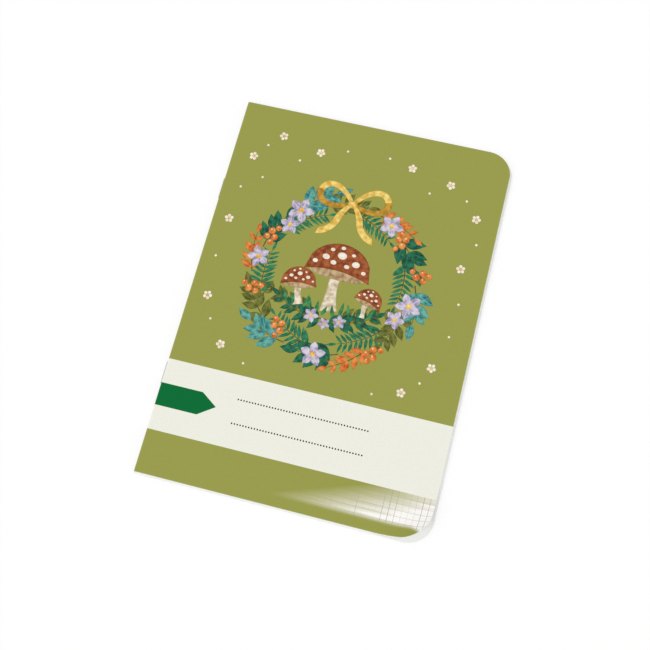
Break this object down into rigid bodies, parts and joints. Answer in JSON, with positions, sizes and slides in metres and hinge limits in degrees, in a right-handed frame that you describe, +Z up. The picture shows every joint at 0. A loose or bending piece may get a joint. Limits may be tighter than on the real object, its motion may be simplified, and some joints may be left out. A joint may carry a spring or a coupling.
{
  "type": "notebook",
  "caption": "Stapled A5 school notebook with a folded card cover, rounded fore-edge corners and squared leaves that turn one by one about the fold.",
  "frame": {"origin": "on the table under the middle of the closed notebook", "axes": "+Z up out of the front cover, +Y towards the head of the page, +X from the spine to the fore edge"},
  "size_m": [0.1498, 0.2108, 0.0029],
  "materials": {
    "cover_card": "gloss",
    "ruled_paper": "matte",
    "staple_wire": "bright drawn wire"
  },
  "bodies": {
    "back": {"back_cover": "cover_card", "cover_spine": "cover_card", "sheet_fold_01": "ruled_paper", "sheet_fold_02": "ruled_paper", "sheet_fold_03": "ruled_paper", "sheet_fold_04": "ruled_paper", "sheet_fold_05": "ruled_paper", "sheet_fold_06": "ruled_paper", "sheet_fold_07": "ruled_paper", "sheet_fold_08": "ruled_paper", "sheet_fold_09": "ruled_paper", "sheet_fold_10": "ruled_paper", "staple_top": "staple_wire", "staple_bottom": "staple_wire"},
    "leaf_20": {"leaf_20": "ruled_paper"},
    "leaf_19": {"leaf_19": "ruled_paper"},
    "leaf_18": {"leaf_18": "ruled_paper"},
    "leaf_17": {"leaf_17": "ruled_paper"},
    "leaf_16": {"leaf_16": "ruled_paper"},
    "leaf_15": {"leaf_15": "ruled_paper"},
    "leaf_14": {"leaf_14": "ruled_paper"},
    "leaf_13": {"leaf_13": "ruled_paper"},
    "leaf_12": {"leaf_12": "ruled_paper"},
    "leaf_11": {"leaf_11": "ruled_paper"},
    "leaf_10": {"leaf_10": "ruled_paper"},
    "leaf_09": {"leaf_09": "ruled_paper"},
    "leaf_08": {"leaf_08": "ruled_paper"},
    "leaf_07": {"leaf_07": "ruled_paper"},
    "leaf_06": {"leaf_06": "ruled_paper", "leaf_06_bend": "ruled_paper"},
    "leaf_05": {"leaf_05": "ruled_paper", "leaf_05_bend": "ruled_paper"},
    "leaf_04": {"leaf_04": "ruled_paper", "leaf_04_bend": "ruled_paper"},
    "leaf_03": {"leaf_03": "ruled_paper", "leaf_03_bend": "ruled_paper"},
    "leaf_02": {"leaf_02": "ruled_paper", "leaf_02_bend": "ruled_paper"},
    "leaf_01": {"leaf_01": "ruled_paper", "leaf_01_bend": "ruled_paper"},
    "front": {"front_cover": "cover_card", "front_cover_bend": "cover_card"}
  },
  "joints": [
    {"name": "leaf_20_turn", "type": "hinge", "parent": "back", "child": "leaf_20", "pos_m": [-0.07468, 0.0004, 0.00144], "axis": [0, -1, 0], "range_deg": [0, 180]},
    {"name": "leaf_19_turn", "type": "hinge", "parent": "leaf_20", "child": "leaf_19", "pos_m": [-0.07468, 0.0004, 0.00144], "axis": [0, -1, 0], "range_deg": [0, 180]},
    {"name": "leaf_18_turn", "type": "hinge", "parent": "leaf_19", "child": "leaf_18", "pos_m": [-0.07468, 0.0004, 0.00144], "axis": [0, -1, 0], "range_deg": [0, 180]},
    {"name": "leaf_17_turn", "type": "hinge", "parent": "leaf_18", "child": "leaf_17", "pos_m": [-0.07468, 0.0004, 0.00144], "axis": [0, -1, 0], "range_deg": [0, 180]},
    {"name": "leaf_16_turn", "type": "hinge", "parent": "leaf_17", "child": "leaf_16", "pos_m": [-0.07468, 0.0004, 0.00144], "axis": [0, -1, 0], "range_deg": [0, 180]},
    {"name": "leaf_15_turn", "type": "hinge", "parent": "leaf_16", "child": "leaf_15", "pos_m": [-0.07468, 0.0004, 0.00144], "axis": [0, -1, 0], "range_deg": [0, 180]},
    {"name": "leaf_14_turn", "type": "hinge", "parent": "leaf_15", "child": "leaf_14", "pos_m": [-0.07468, 0.0004, 0.00144], "axis": [0, -1, 0], "range_deg": [0, 180]},
    {"name": "leaf_13_turn", "type": "hinge", "parent": "leaf_14", "child": "leaf_13", "pos_m": [-0.07468, 0.0004, 0.00144], "axis": [0, -1, 0], "range_deg": [0, 180]},
    {"name": "leaf_12_turn", "type": "hinge", "parent": "leaf_13", "child": "leaf_12", "pos_m": [-0.07468, 0.0004, 0.00144], "axis": [0, -1, 0], "range_deg": [0, 180]},
    {"name": "leaf_11_turn", "type": "hinge", "parent": "leaf_12", "child": "leaf_11", "pos_m": [-0.07468, 0.0004, 0.00144], "axis": [0, -1, 0], "range_deg": [0, 180]},
    {"name": "leaf_10_turn", "type": "hinge", "parent": "leaf_11", "child": "leaf_10", "pos_m": [-0.07468, 0.0004, 0.00144], "axis": [0, -1, 0], "range_deg": [0, 180]},
    {"name": "leaf_09_turn", "type": "hinge", "parent": "leaf_10", "child": "leaf_09", "pos_m": [-0.07468, 0.0004, 0.00144], "axis": [0, -1, 0], "range_deg": [0, 180]},
    {"name": "leaf_08_turn", "type": "hinge", "parent": "leaf_09", "child": "leaf_08", "pos_m": [-0.07468, 0.0004, 0.00144], "axis": [0, -1, 0], "range_deg": [0, 180]},
    {"name": "leaf_07_turn", "type": "hinge", "parent": "leaf_08", "child": "leaf_07", "pos_m": [-0.07468, 0.0004, 0.00144], "axis": [0, -1, 0], "range_deg": [0, 180]},
    {"name": "leaf_06_turn", "type": "hinge", "parent": "leaf_07", "child": "leaf_06", "pos_m": [-0.07468, 0.0004, 0.00144], "axis": [0, -1, 0], "range_deg": [0, 180]},
    {"name": "leaf_05_turn", "type": "hinge", "parent": "leaf_06", "child": "leaf_05", "pos_m": [-0.07468, 0.0004, 0.00144], "axis": [0, -1, 0], "range_deg": [0, 180]},
    {"name": "leaf_04_turn", "type": "hinge", "parent": "leaf_05", "child": "leaf_04", "pos_m": [-0.07468, 0.0004, 0.00144], "axis": [0, -1, 0], "range_deg": [0, 180]},
    {"name": "leaf_03_turn", "type": "hinge", "parent": "leaf_04", "child": "leaf_03", "pos_m": [-0.07468, 0.0004, 0.00144], "axis": [0, -1, 0], "range_deg": [0, 180]},
    {"name": "leaf_02_turn", "type": "hinge", "parent": "leaf_03", "child": "leaf_02", "pos_m": [-0.07468, 0.0004, 0.00144], "axis": [0, -1, 0], "range_deg": [0, 180]},
    {"name": "leaf_01_turn", "type": "hinge", "parent": "leaf_02", "child": "leaf_01", "pos_m": [-0.07468, 0.0004, 0.00144], "axis": [0, -1, 0], "range_deg": [0, 180]},
    {"name": "front_cover_turn", "type": "hinge", "parent": "leaf_01", "child": "front", "pos_m": [-0.07468, 0.0004, 0.00144], "axis": [0, -1, 0], "range_deg": [0, 180]}
  ]
}
